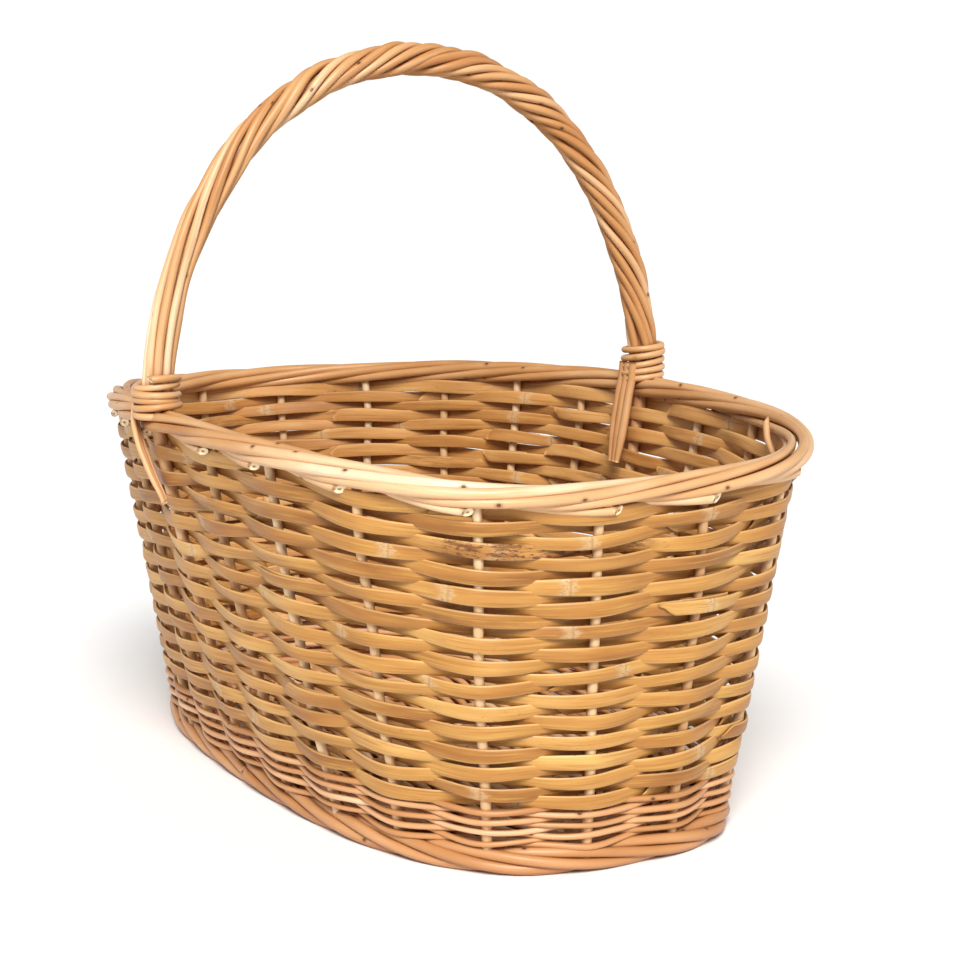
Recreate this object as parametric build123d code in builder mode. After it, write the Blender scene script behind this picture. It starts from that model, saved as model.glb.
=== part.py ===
from build123d import *
import os
from math import atan2, copysign, cos, degrees, hypot, pi, sin

os.makedirs("parts", exist_ok=True)

# An oval willow basket with a fixed arched handle. X is the long way, Y the short way, Z is up.
# The origin is on the floor under the middle of the rim.

# Overall shape
RIM_Z = 185.0  # middle of the border, and the top of the woven wall
RIM_A = 225.4  # half length of the rim at the middle of its border
RIM_B = 144.6  # half width of the rim
BASE_A = 197.0  # half length of the wall at the floor
BASE_B = 98.5  # half width of the wall at the floor
BASE_SHIFT = 11.5  # the base stands this far towards +X under the rim
BULGE = 0.069  # outward bow of the wall, as a share of its spread from base to rim
SQUARE_FRONT = 2.9  # corner squareness of the rim's +X half, where 2 is an ellipse
SQUARE_BACK = 1.95  # the same for its rounder -X half
SQUARE_BASE = 2.9

# Stakes, the upright rods: one at each foot of the handle and five in each quarter of the wall
STATIONS = 22
STATIONS_PER_QUARTER = STATIONS / 4
STAKE_RADIUS = 2.45
STAKE_BOTTOM_Z = 5.4
STAKE_TOP_Z = 177.6

# Weave rows of split willow
ROW_COUNT = 26
ROW_ZONE_TOP = 172.9
ROW_ZONE_BOTTOM = 29.2
ROW_PITCH = (ROW_ZONE_TOP - ROW_ZONE_BOTTOM) / ROW_COUNT
ROW_HEIGHT = 5.3
ROW_THICK = 1.6
WEAVE_SWING = 4.35  # how far a row swings out and in as it passes the stakes

# Lower wale of thin round rods, and the thicker foot rods that the basket stands on
WALE_COUNT = 5
WALE_TOP_Z = 27.4
WALE_PITCH = 2.9
WALE_ROD = 2.4
FOOT_RADIUS = 2.35
FOOT_PLACES = [(0.0, 2.0), (8.9, 6.6), (9.9, 11.4)]  # outward offset from the wall, height

# Border rods of the rim: outward offset from the rim line, height above it
BORDER_RADIUS = 3.2
BORDER_PLACES = [(4.5, -3.5), (3.5, 3.2), (-3.5, 3.5), (-4.0, -3.0)]

# Handle: a thick bow rod, with thinner rods laid round it
BOW_RADIUS = 4.2
LEG_RADIUS = 2.2  # the bow's ends are cut thin where they go down through the weave
LEG_BOTTOM_Z = 14.0
LEG_BENDS = [40.0, 300.0]  # radii where the leg leaves the foot and where it follows the wall's bow
HANDLE_FOOT_Z = 194.0
HANDLE_TOP_Z = 369.0  # middle of the bow at its top
HANDLE_ROD_COUNT = 8
HANDLE_ROD_RADIUS = 2.6
HANDLE_RING = 6.9  # from the bow's middle to the middle of each rod round it
TOP_ARC_RADIUS = 128.0
WRAP_TURNS = 4
WRAP_RADIUS = 1.5
WRAP_RING = 11.35
WRAP_BOTTOM_Z = 197.0
WRAP_PITCH = 3.2
TAIL_RADIUS = 2.0
TAIL_SPACING = 4.6
TAIL_TOP_Z = 193.2
TAIL_GAP_AT_BORDER = 11.1  # from the wall line to the tail's middle beside the border
TAIL_GAP_BELOW = 8.6  # the same beside the weave rows
TAIL_BEND = 25.0
TAIL_WAY = [(174.0, 1.0), (160.0, 4.0), (149.0, 7.5)]  # height, drift towards +X

# Base: sticks laid lengthwise through pierced cross sticks, with rods woven above and below them
STICK_Z = 8.0
LONG_STICK_RADIUS = 2.5
LONG_STICK_COUNT = 7
LONG_STICK_PITCH = 7.3
MIDDLE_LONG_STICK = (LONG_STICK_COUNT - 1) / 2
LONG_STICK_PLACES = [LONG_STICK_PITCH * (number - MIDDLE_LONG_STICK) for number in range(LONG_STICK_COUNT)]
LONG_STICK_LENGTH = 366.0
CROSS_STICK_COUNT = 9
CROSS_STICK_PITCH = 36.0
CROSS_STICK_WIDE = 9.0
CROSS_STICK_THICK = 7.0
CROSS_STICK_EDGE = 2.0  # rounding of the cross sticks' long edges
STICK_EDGE_GAP = 9.0  # between a stick's end and the wall line
PIERCE_GAP = 0.15
BASE_RING_COUNT = 14
BASE_RING_PITCH = 5.0
BASE_RING_RADIUS = 1.95
BASE_RING_GAP = 0.2
BASE_RING_EDGE_GAP = 11.2  # between the outermost round's middle and the wall line

# Radii of an oval quarter's side arc, as a share of its half length, and of its end and corner arcs, as
# shares of its half width
SQUARE_ARCS = (3.6, 6.0, 0.78)
ROUND_ARCS = (1.34, 0.461, 0.917)
BASE_ROUND_ARCS = (8.0, 1.6, 0.72)

CLEARANCE = 0.15
MEASURING_STEPS = 400  # short steps along a quarter oval when it is divided evenly


def superellipse(a, b, square, angle):
    """A point of an oval with the given half sizes and squareness."""
    c = cos(angle)
    s = sin(angle)
    return a * copysign(abs(c) ** (2 / square), c), b * copysign(abs(s) ** (2 / square), s)


def quarter_points(a, b, square):
    """Points evenly spaced along one quarter of an oval, at half steps from the +X end to the +Y side."""
    fine = [superellipse(a, b, square, pi / 2 * i / MEASURING_STEPS) for i in range(MEASURING_STEPS + 1)]
    lengths = [0.0]
    for p, q in zip(fine, fine[1:]):
        lengths.append(lengths[-1] + hypot(q[0] - p[0], q[1] - p[1]))
    points = []
    i = 0
    for half_steps in range(int(2 * STATIONS_PER_QUARTER) + 1):
        want = lengths[-1] * half_steps / (2 * STATIONS_PER_QUARTER)
        while i < MEASURING_STEPS - 1 and lengths[i + 1] < want:
            i += 1
        share = (want - lengths[i]) / (lengths[i + 1] - lengths[i])
        x = fine[i][0] + share * (fine[i + 1][0] - fine[i][0])
        y = fine[i][1] + share * (fine[i + 1][1] - fine[i][1])
        points.append((x, y))
    return points


def station_points(a, b, square_front, square_back):
    """The 22 stake places round an oval, from the -Y foot of the handle round by the +X end."""
    front = quarter_points(a, b, square_front)
    back = quarter_points(a, b, square_back)
    half_steps = len(front) - 1
    near_right = [(front[k][0], -front[k][1]) for k in range(half_steps, 0, -2)]
    near_left = [front[k] for k in range(1, half_steps, 2)]
    far_left = [(-back[k][0], back[k][1]) for k in range(half_steps, 0, -2)]
    far_right = [(-back[k][0], -back[k][1]) for k in range(1, half_steps, 2)]
    return near_right + near_left + far_left + far_right


RIM_STATIONS = station_points(RIM_A, RIM_B, SQUARE_FRONT, SQUARE_BACK)
BASE_STATIONS = station_points(BASE_A, BASE_B, SQUARE_BASE, SQUARE_BASE)


def wall_point(station, z):
    """The middle of the wall's thickness at a stake place and a height."""
    share = z / RIM_Z
    spread = share + BULGE * 4 * share * (1 - share)
    x0, y0 = BASE_STATIONS[station % STATIONS]
    x1, y1 = RIM_STATIONS[station % STATIONS]
    x0 += BASE_SHIFT
    return x0 + (x1 - x0) * spread, y0 + (y1 - y0) * spread


def wall_frame(station, z):
    """A wall point, the way along the wall, and the way out of it."""
    x, y = wall_point(station, z)
    before = wall_point(station - 1, z)
    after = wall_point(station + 1, z)
    size = hypot(after[0] - before[0], after[1] - before[1])
    along = ((after[0] - before[0]) / size, (after[1] - before[1]) / size)
    return (x, y), along, (along[1], -along[0])


def wavy_loop(z, swing_sign, offset):
    """A closed curve round the wall that swings out at one stake and in at the next."""
    points = []
    ways = []
    for station in range(STATIONS):
        (x, y), along, out = wall_frame(station, z)
        push = offset + WEAVE_SWING * swing_sign * (1 if station % 2 == 0 else -1)
        points.append((x + out[0] * push, y + out[1] * push))
        ways.append(along)
    for station in range(STATIONS):
        after = (station + 1) % STATIONS
        Spline(points[station], points[after], tangents=(ways[station], ways[after]))


def woven_band(name, z, height, thick, swing_sign):
    """One weaver: a closed wavy band that goes outside every second stake."""
    with BuildPart() as band:
        with BuildSketch(Plane.XY.offset(z - height / 2)):
            with BuildLine():
                wavy_loop(z, swing_sign, thick / 2)
            make_face()
            with BuildLine(mode=Mode.PRIVATE) as inner:
                wavy_loop(z, swing_sign, -thick / 2)
            make_face(inner.edges(), mode=Mode.SUBTRACT)
        extrude(amount=height)
    save(band, name)


def save(piece, name):
    """Label a finished piece and write it."""
    piece.part.label = name
    export_step(piece.part, "parts/" + name + ".step")


class OvalQuarter:
    """A quarter oval of three tangent arcs: a side arc, a corner arc and an end arc."""

    def __init__(self, a, b, side_radius, end_radius, corner_radius):
        self.side_radius = side_radius
        self.end_radius = end_radius
        self.corner_radius = corner_radius
        self.side_y = b - side_radius
        self.end_x = a - end_radius
        to_side = side_radius - corner_radius
        to_end = end_radius - corner_radius
        gap = hypot(self.end_x, self.side_y)
        ux = self.end_x / gap
        uy = -self.side_y / gap
        reach = (to_side**2 - to_end**2 + gap**2) / (2 * gap)
        height = (to_side**2 - reach**2) ** 0.5
        # Two circles about the side and end centres meet at the corner centre: take the outer meeting
        choices = []
        for sign in (1, -1):
            cx = ux * reach + sign * height * uy
            cy = self.side_y + uy * reach - sign * height * ux
            choices.append((cx, cy))
        self.corner = max(choices, key=lambda c: c[0] + c[1])
        turn = (self.corner[0], self.corner[1] - self.side_y)
        self.side_angle = degrees(atan2(turn[1], turn[0]))
        lean = copysign(1, to_end)
        away = (self.corner[0] - self.end_x, self.corner[1])
        self.end_angle = degrees(atan2(lean * away[1], lean * away[0]))


def oval_loop(shift, front, back):
    """A closed oval of tangent arcs, counterclockwise from the +X end, with its middle shifted in X."""
    corner_x, corner_y = front.corner
    corner_sweep = front.side_angle - front.end_angle
    side_sweep = 90 - front.side_angle
    CenterArc((shift + front.end_x, 0), front.end_radius, 0, front.end_angle)
    CenterArc((shift + corner_x, corner_y), front.corner_radius, front.end_angle, corner_sweep)
    CenterArc((shift, front.side_y), front.side_radius, front.side_angle, side_sweep)
    back_x, back_y = back.corner
    back_corner_sweep = back.side_angle - back.end_angle
    back_side_sweep = 90 - back.side_angle
    CenterArc((shift, back.side_y), back.side_radius, 90, back_side_sweep)
    CenterArc((shift - back_x, back_y), back.corner_radius, 180 - back.side_angle, back_corner_sweep)
    CenterArc((shift - back.end_x, 0), back.end_radius, 180 - back.end_angle, 2 * back.end_angle)
    CenterArc((shift - back_x, -back_y), back.corner_radius, 180 + back.end_angle, back_corner_sweep)
    CenterArc((shift, -back.side_y), back.side_radius, 180 + back.side_angle, back_side_sweep)
    CenterArc((shift, -front.side_y), front.side_radius, 270, side_sweep)
    CenterArc((shift + corner_x, -corner_y), front.corner_radius, 360 - front.side_angle, corner_sweep)
    CenterArc((shift + front.end_x, 0), front.end_radius, 360 - front.end_angle, front.end_angle)


def oval_quarter(a, b, offset, arcs):
    """A quarter oval with half sizes a and b, moved outwards by an offset."""
    side, end, corner = arcs
    return OvalQuarter(a + offset, b + offset, side * a + offset, end * b + offset, corner * b + offset)


def square_quarter(a, b, offset):
    """The boxy quarter of the rim's front and of the base, moved outwards by an offset."""
    return oval_quarter(a, b, offset, SQUARE_ARCS)


def round_quarter(a, b, offset):
    """The rounder quarter of the rim's back, moved outwards by an offset."""
    return oval_quarter(a, b, offset, ROUND_ARCS)


def rod_round(shift, z, front, back, radius):
    """A round rod bent into a closed oval."""
    start = (shift + front.end_x + front.end_radius, 0, z)
    with BuildPart() as rod:
        with BuildLine(Plane.XY.offset(z)) as route:
            oval_loop(shift, front, back)
        with BuildSketch(Plane(origin=start, z_dir=(0, 1, 0))):
            Circle(radius)
        sweep(path=route.wires()[0])
    return rod


def leg_points(side):
    """The way of one end of the bow: straight down through the border, then down the wall."""
    station = 0 if side < 0 else STATIONS // 2
    heights = [RIM_Z - 8, 0.55 * RIM_Z, LEG_BOTTOM_Z]
    points = [(0, side * RIM_B, HANDLE_FOOT_Z)]
    for z in heights:
        x, y = wall_point(station, z)
        points.append((x, y, z))
    return points


def leg(side, radius):
    """One end of the bow, cut to a radius."""
    with BuildPart() as end:
        with BuildLine() as route:
            FilletPolyline(*leg_points(side), radius=LEG_BENDS)
        with BuildSketch(Plane(origin=route.line @ 0, z_dir=route.line % 0)):
            Circle(radius)
        sweep(path=route.wires()[0])
    return end


# Handle arcs: a top arc with a tangent arc on each side that ends upright at the foot
HANDLE_RISE = HANDLE_TOP_Z - HANDLE_FOOT_Z
SIDE_ARC_RADIUS = (RIM_B**2 + (HANDLE_RISE - TOP_ARC_RADIUS) ** 2 - TOP_ARC_RADIUS**2) / (
    2 * (RIM_B - TOP_ARC_RADIUS)
)
SIDE_ARC_ANGLE = degrees(atan2(HANDLE_RISE - TOP_ARC_RADIUS, SIDE_ARC_RADIUS - RIM_B))


def handle_rod(x, outward, radius):
    """A round rod along the arch, moved sideways and outwards from the bow's middle."""
    side_y = SIDE_ARC_RADIUS - RIM_B
    side = SIDE_ARC_RADIUS + outward
    top = TOP_ARC_RADIUS + outward
    top_sweep = 180 - 2 * SIDE_ARC_ANGLE
    with BuildPart() as rod:
        with BuildLine(Plane.YZ.offset(x)) as route:
            CenterArc((-side_y, HANDLE_FOOT_Z), side, 0, SIDE_ARC_ANGLE)
            CenterArc((0, HANDLE_TOP_Z - TOP_ARC_RADIUS), top, SIDE_ARC_ANGLE, top_sweep)
            CenterArc((side_y, HANDLE_FOOT_Z), side, 180 - SIDE_ARC_ANGLE, SIDE_ARC_ANGLE)
        with BuildSketch(Plane(origin=(x, RIM_B + outward, HANDLE_FOOT_Z), z_dir=(0, 0, 1))):
            Circle(radius)
        sweep(path=route.wires()[0])
    return rod


# Weave rows, counted from the top
for row in range(ROW_COUNT):
    row_z = ROW_ZONE_TOP - ROW_PITCH * (row + 0.5)
    woven_band(f"weave_row_{row + 1:02d}", row_z, ROW_HEIGHT, ROW_THICK, 1 if row % 2 == 0 else -1)

# Lower wale
for rod in range(WALE_COUNT):
    wale_z = WALE_TOP_Z - WALE_PITCH * rod
    woven_band(f"lower_wale_{rod + 1}", wale_z, WALE_ROD, WALE_ROD, 1 if rod % 2 == 0 else -1)

# Foot rods, the lowest one worn flat where it stands on the floor
for number, (offset, z) in enumerate(FOOT_PLACES, start=1):
    quarter = square_quarter(BASE_A, BASE_B, offset)
    whole_rod = rod_round(BASE_SHIFT, z, quarter, quarter, FOOT_RADIUS)
    with BuildPart() as foot_rod:
        add(whole_rod.part)
        split(bisect_by=Plane.XY, keep=Keep.TOP)
    save(foot_rod, f"foot_rod_{number}")

# Border rods, crushed where they squeeze the two ends of the bow
leg_gaps = [leg(side, LEG_RADIUS + CLEARANCE) for side in (-1, 1)]
for number, (offset, rise) in enumerate(BORDER_PLACES, start=1):
    front = square_quarter(RIM_A, RIM_B, offset)
    back = round_quarter(RIM_A, RIM_B, offset)
    whole_rod = rod_round(0, RIM_Z + rise, front, back, BORDER_RADIUS)
    with BuildPart() as border_rod:
        add(whole_rod.part)
        for gap in leg_gaps:
            add(gap.part, mode=Mode.SUBTRACT)
    save(border_rod, f"border_rod_{number}")

# Stakes, in four groups of separate rods
STAKE_GROUPS = {
    "stakes_front_right": range(1, 6),
    "stakes_front_left": range(6, 11),
    "stakes_back_left": range(12, 17),
    "stakes_back_right": range(17, 22),
}
for name, stations in STAKE_GROUPS.items():
    with BuildPart() as stakes:
        for station in stations:
            ends = []
            for z in (STAKE_BOTTOM_Z, (STAKE_BOTTOM_Z + STAKE_TOP_Z) / 2, STAKE_TOP_Z):
                x, y = wall_point(station, z)
                ends.append((x, y, z))
            with BuildLine() as upright:
                ThreePointArc(*ends)
            with BuildSketch(Plane(origin=upright.line @ 0, z_dir=upright.line % 0)):
                Circle(STAKE_RADIUS)
            sweep(path=upright.wires()[0])
    save(stakes, name)

# Bow of the handle
arch = handle_rod(0, 0, BOW_RADIUS)
legs = [leg(side, LEG_RADIUS) for side in (-1, 1)]
with BuildPart() as handle_bow:
    add(arch.part)
    for end in legs:
        add(end.part)
save(handle_bow, "handle_bow")

# Rods round the bow
for number in range(HANDLE_ROD_COUNT):
    angle = 2 * pi * number / HANDLE_ROD_COUNT
    outer_rod = handle_rod(HANDLE_RING * sin(angle), HANDLE_RING * cos(angle), HANDLE_ROD_RADIUS)
    save(outer_rod, f"handle_rod_{number + 1}")

# Bindings round the feet of the handle
for side, name in ((-1, "handle_wrap_left"), (1, "handle_wrap_right")):
    with BuildPart() as wrap:
        for turn in range(WRAP_TURNS):
            z = WRAP_BOTTOM_Z + WRAP_PITCH * turn
            with BuildSketch(Plane(origin=(0, side * RIM_B, z), x_dir=(1, 0, 0), z_dir=(0, -1, 0))):
                with Locations((WRAP_RING, 0)):
                    Circle(WRAP_RADIUS)
            revolve(axis=Axis((0, side * RIM_B, z), (0, 0, 1)))
    save(wrap, name)

# Tails of the handle rods: outside the wall on the left, inside it on the right
for side, way, name in ((-1, 1, "handle_tail_left"), (1, -1, "handle_tail_right")):
    station = 0 if side < 0 else STATIONS // 2
    with BuildPart() as tail:
        for rod in (-1, 0, 1):
            start_y = side * (RIM_B + way * TAIL_GAP_AT_BORDER)
            points = [(rod * TAIL_SPACING, start_y, TAIL_TOP_Z)]
            for z, drift in TAIL_WAY:
                x, y = wall_point(station, z)
                gap = TAIL_GAP_AT_BORDER if z > ROW_ZONE_TOP else TAIL_GAP_BELOW
                points.append((x + rod * TAIL_SPACING + drift, y + side * way * gap, z))
            with BuildLine() as hang:
                FilletPolyline(*points, radius=TAIL_BEND)
            with BuildSketch(Plane(origin=hang.line @ 0, z_dir=hang.line % 0)):
                Circle(TAIL_RADIUS)
            sweep(path=hang.wires()[0])
    save(tail, name)

# Base sticks
with BuildPart() as base_long_sticks:
    for y in LONG_STICK_PLACES:
        start = (BASE_SHIFT - LONG_STICK_LENGTH / 2, y, STICK_Z)
        with BuildSketch(Plane(origin=start, z_dir=(1, 0, 0))):
            Circle(LONG_STICK_RADIUS)
        extrude(amount=LONG_STICK_LENGTH)
save(base_long_sticks, "base_long_sticks")

with BuildPart() as base_cross_sticks:
    for number in range(CROSS_STICK_COUNT):
        x = CROSS_STICK_PITCH * (number - (CROSS_STICK_COUNT - 1) / 2)
        half = BASE_B * (1 - abs(x / BASE_A) ** SQUARE_BASE) ** (1 / SQUARE_BASE) - STICK_EDGE_GAP
        with BuildSketch(Plane(origin=(BASE_SHIFT + x, -half, STICK_Z), x_dir=(1, 0, 0), z_dir=(0, 1, 0))):
            RectangleRounded(CROSS_STICK_WIDE, CROSS_STICK_THICK, CROSS_STICK_EDGE)
        extrude(amount=2 * half)
    for y in LONG_STICK_PLACES:
        start = (BASE_SHIFT - LONG_STICK_LENGTH / 2, y, STICK_Z)
        with BuildSketch(Plane(origin=start, z_dir=(1, 0, 0))):
            Circle(LONG_STICK_RADIUS + PIERCE_GAP)
        extrude(amount=LONG_STICK_LENGTH, mode=Mode.SUBTRACT)
save(base_cross_sticks, "base_cross_sticks")

# Base weave: every second round lies under the sticks, and the rest on top of them
for level, name in ((-1, "base_weave_under"), (1, "base_weave_top")):
    z = STICK_Z + level * (CROSS_STICK_THICK / 2 + BASE_RING_RADIUS + BASE_RING_GAP)
    rods = []
    for number in range(0 if level < 0 else 1, BASE_RING_COUNT, 2):
        inset = BASE_RING_EDGE_GAP + BASE_RING_PITCH * number
        a = BASE_A - inset
        b = BASE_B - inset
        quarter = oval_quarter(a, b, 0, BASE_ROUND_ARCS)
        rods.append(rod_round(BASE_SHIFT, z, quarter, quarter, BASE_RING_RADIUS))
    with BuildPart() as rounds:
        for rod in rods:
            add(rod.part)
    save(rounds, name)
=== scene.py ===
import math

import bpy
import numpy as np
from mathutils import Matrix, Vector


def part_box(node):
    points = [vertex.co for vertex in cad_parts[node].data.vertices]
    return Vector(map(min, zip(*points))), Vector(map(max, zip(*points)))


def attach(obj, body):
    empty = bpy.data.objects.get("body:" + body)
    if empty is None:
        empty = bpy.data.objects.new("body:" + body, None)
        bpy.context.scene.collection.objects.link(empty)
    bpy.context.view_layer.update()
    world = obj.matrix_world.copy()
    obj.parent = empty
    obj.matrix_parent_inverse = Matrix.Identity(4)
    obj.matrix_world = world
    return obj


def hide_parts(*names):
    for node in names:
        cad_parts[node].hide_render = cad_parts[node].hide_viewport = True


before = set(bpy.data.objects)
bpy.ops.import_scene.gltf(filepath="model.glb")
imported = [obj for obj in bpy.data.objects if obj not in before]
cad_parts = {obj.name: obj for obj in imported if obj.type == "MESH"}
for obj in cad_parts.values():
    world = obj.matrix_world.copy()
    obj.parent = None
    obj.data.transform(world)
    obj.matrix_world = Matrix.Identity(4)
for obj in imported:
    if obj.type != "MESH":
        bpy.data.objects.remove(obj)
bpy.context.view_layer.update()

# An oval willow basket with a fixed arched handle.
# X is the long way, Y the short way and Z is up. Lengths in this script are millimetres, and
# add_piece turns them into metres. Places round the wall are counted in stations: station 0 is the
# handle's foot at -Y, and the count runs by the +X end to the foot at +Y (11) and back by the -X end.

MM = 0.001


def cad_box(node):
    """Lowest and highest corner of a CAD node, in millimetres."""
    low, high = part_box(node)
    return np.array(low) / MM, np.array(high) / MM


# ---------------------------------------------------------------------------------------------
# Driving sizes, from the frame

BORDER_ROD = 3.2  # radius of the CAD border rods
BORDER_OUT = 4.5  # outward offset of border_rod_1 from the rim line
BORDER_DOWN = 3.5  # how far border_rod_1 lies below the rim line
FOOT_ROD = 2.35  # radius of the CAD foot rods

border_low, border_high = cad_box("border_rod_1")
RIM_A = (border_high[0] - border_low[0]) / 2 - BORDER_ROD - BORDER_OUT
RIM_B = (border_high[1] - border_low[1]) / 2 - BORDER_ROD - BORDER_OUT
RIM_Z = (border_high[2] + border_low[2]) / 2 + BORDER_DOWN

foot_low, foot_high = cad_box("foot_rod_1")
BASE_A = (foot_high[0] - foot_low[0]) / 2 - FOOT_ROD
BASE_B = (foot_high[1] - foot_low[1]) / 2 - FOOT_ROD
BASE_SHIFT = (foot_high[0] + foot_low[0]) / 2

bow_low, bow_high = cad_box("handle_bow")
BOW_ROD = 4.2
HANDLE_TOP = bow_high[2] - BOW_ROD

STATIONS = 22
QUARTER = STATIONS / 4
LEFT_FOOT = 0
RIGHT_FOOT = STATIONS // 2
BULGE = 0.069
SQUARE_FRONT = 2.9
SQUARE_BACK = 1.95
SQUARE_BASE = 2.9
RIM_SAG = 6.1  # the rim's ends lie this much lower, and its sides this much higher, than its mean

ROW_COUNT = 26
STAKE_RADIUS = 2.45
STRIP_WIDTH = 7.2
STRIP_THICK = 1.75
SCORCHED_ROW = 2  # the row with a scorched stretch
SCORCHED_STATION = 4.6

rng = np.random.default_rng(7)


# ---------------------------------------------------------------------------------------------
# The wall's surface


def quarter_table(a, b, square):
    """Station count, x, y and the cosine of twice the oval's angle, along a quarter from its X end."""
    angle = np.linspace(0, math.pi / 2, 3000)
    x = a * np.cos(angle) ** (2 / square)
    y = b * np.sin(angle) ** (2 / square)
    length = np.concatenate([[0], np.cumsum(np.hypot(np.diff(x), np.diff(y)))])
    return length / length[-1] * QUARTER, x, y, np.cos(2 * angle)


TABLES = {
    "rim_front": quarter_table(RIM_A, RIM_B, SQUARE_FRONT),
    "rim_back": quarter_table(RIM_A, RIM_B, SQUARE_BACK),
    "base": quarter_table(BASE_A, BASE_B, SQUARE_BASE),
}


def oval(s, front, back):
    """x, y and the end-or-side value (1 at the ends, -1 at the sides) of an oval at stations s."""
    s = np.mod(s, STATIONS)
    u = np.abs(np.where(s < 2 * QUARTER, s - QUARTER, s - 3 * QUARTER))
    is_front = s < 2 * QUARTER
    left = (s < QUARTER) | (s >= 3 * QUARTER)
    values = []
    for column in (1, 2, 3):
        f = np.interp(u, TABLES[front][0], TABLES[front][column])
        b = np.interp(u, TABLES[back][0], TABLES[back][column])
        values.append(np.where(is_front, f, b))
    x = np.where(is_front, values[0], -values[0])
    y = np.where(left, -values[1], values[1])
    return x, y, values[2]


def flattened(s, front, back, straight):
    """An oval pulled towards the straight lines between its stations, by a share."""
    x, y, ends = oval(s, front, back)
    if straight:
        low = np.floor(s)
        part = s - low
        x0, y0, _ = oval(low, front, back)
        x1, y1, _ = oval(low + 1, front, back)
        x = x + straight * (x0 + (x1 - x0) * part - x)
        y = y + straight * (y0 + (y1 - y0) * part - y)
    return x, y, ends


def wall(s, z, straight=0.0):
    """Points of the middle of the wall, at stations s and heights z measured up a level basket."""
    s = np.asarray(s, float)
    z = np.broadcast_to(np.asarray(z, float), s.shape)
    share = z / RIM_Z
    spread = share + BULGE * 4 * share * (1 - share)
    x0, y0, _ = flattened(s, "base", "base", straight)
    x1, y1, ends = flattened(s, "rim_front", "rim_back", straight)
    x0 = x0 + BASE_SHIFT
    near_corner = np.exp(-(((s % STATIONS) - 4.4) / 1.2) ** 2) * share**2
    far_corner = np.exp(-(((s % STATIONS) - 7.6) / 1.5) ** 2) * share**2
    back_left = np.exp(-(((s % STATIONS) - 19.4) / 2.3) ** 2)
    height = z - RIM_SAG * ends * share - 2.0 * near_corner + 0.8 * far_corner
    x = x0 + (x1 - x0) * spread + 1.0 * far_corner + 2.5 * back_left
    y = y0 + (y1 - y0) * spread + 1.5 * far_corner + 3.5 * back_left
    return np.stack([x, y, height], -1)


def unit(v):
    return v / np.linalg.norm(v, axis=-1, keepdims=True)


def wall_frame(s, z, straight=0.0):
    """The wall's points, with its ways along, out and up."""
    point = wall(s, z, straight)
    along = unit(wall(s + 0.02, z) - wall(s - 0.02, z))
    up = wall(s, np.asarray(z) + 0.5) - wall(s, np.asarray(z) - 0.5)
    up = unit(up - (up * along).sum(-1, keepdims=True) * along)
    out = np.cross(along, up)
    return point, along, out, up


def ring_noise(random, s, low, high, size):
    """Smooth noise that closes on itself round the basket, with waves low to high in number."""
    total = np.zeros_like(s)
    for waves in range(low, high):
        total += random.normal() * np.cos(2 * math.pi * (waves * s / STATIONS + random.random()))
    return size * total / math.sqrt((high - low) / 2)


def line_noise(random, x, scale, size, terms=6):
    """Smooth noise along an open line, with the given mean wavelength."""
    total = np.zeros_like(x)
    for _ in range(terms):
        wave = scale * random.uniform(0.6, 1.8)
        total += random.normal() * np.cos(2 * math.pi * (x / wave + random.random()))
    return size * total / math.sqrt(terms / 2)


def smooth_closed(points, reach):
    """Rounds a closed line of points by averaging over neighbours up to reach away."""
    weights = np.hanning(2 * reach + 3)[1:-1]
    weights /= weights.sum()
    out = np.zeros_like(points)
    for k, w in zip(range(-reach, reach + 1), weights):
        out += w * np.roll(points, k, axis=0)
    return out


def smooth_open(points):
    """Rounds the bends of an open line of points, leaving its ends where they are."""
    out = points.copy()
    for _ in range(12):
        out[1:-1] = (out[:-2] + 2 * out[1:-1] + out[2:]) / 4
    return out


# ---------------------------------------------------------------------------------------------
# Mesh making


def lengths_along(points, closed):
    steps = np.linalg.norm(np.diff(points, axis=0), axis=-1)
    total = np.concatenate([[0], np.cumsum(steps)])
    if closed:
        last = np.linalg.norm(points[0] - points[-1])
        total = np.concatenate([total, [total[-1] + last]])
    return total


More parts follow.
